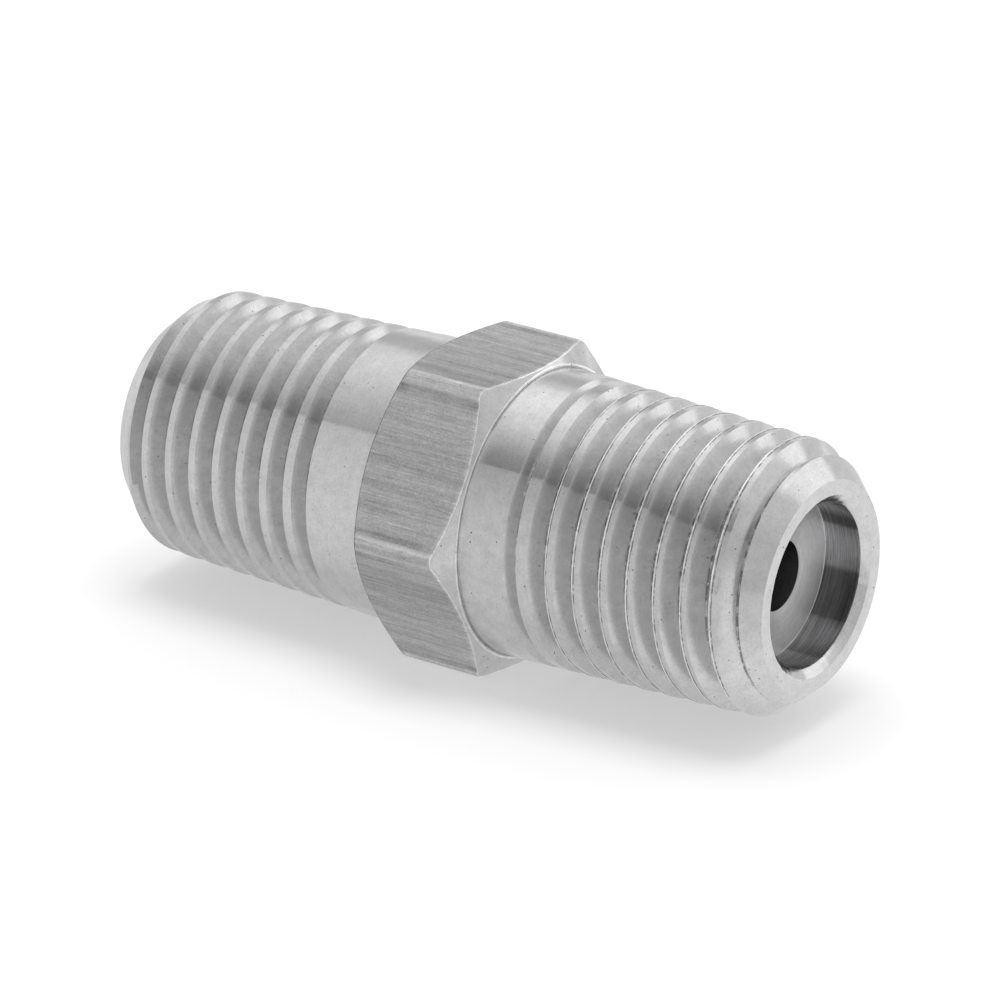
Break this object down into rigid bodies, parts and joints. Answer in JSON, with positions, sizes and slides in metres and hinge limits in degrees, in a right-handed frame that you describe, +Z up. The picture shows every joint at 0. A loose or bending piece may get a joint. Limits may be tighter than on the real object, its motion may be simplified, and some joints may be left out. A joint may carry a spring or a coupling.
{
  "type": "hex nipple",
  "caption": "Double male threaded pipe nipple with a chamfered hexagon between its tapered ends, a counterbore in one end face and a small hole through it.",
  "frame": {"origin": "middle of the fitting, on its axis", "axes": "+X along the axis towards the counterbored end, +Z up, square to the flat of the hexagon that the part lies on"},
  "size_m": [0.036, 0.0164, 0.0142],
  "materials": {
    "turned_metal": "machined, fine turning marks"
  },
  "bodies": {
    "root": {"hex_nipple": "turned_metal"}
  },
  "joints": []
}
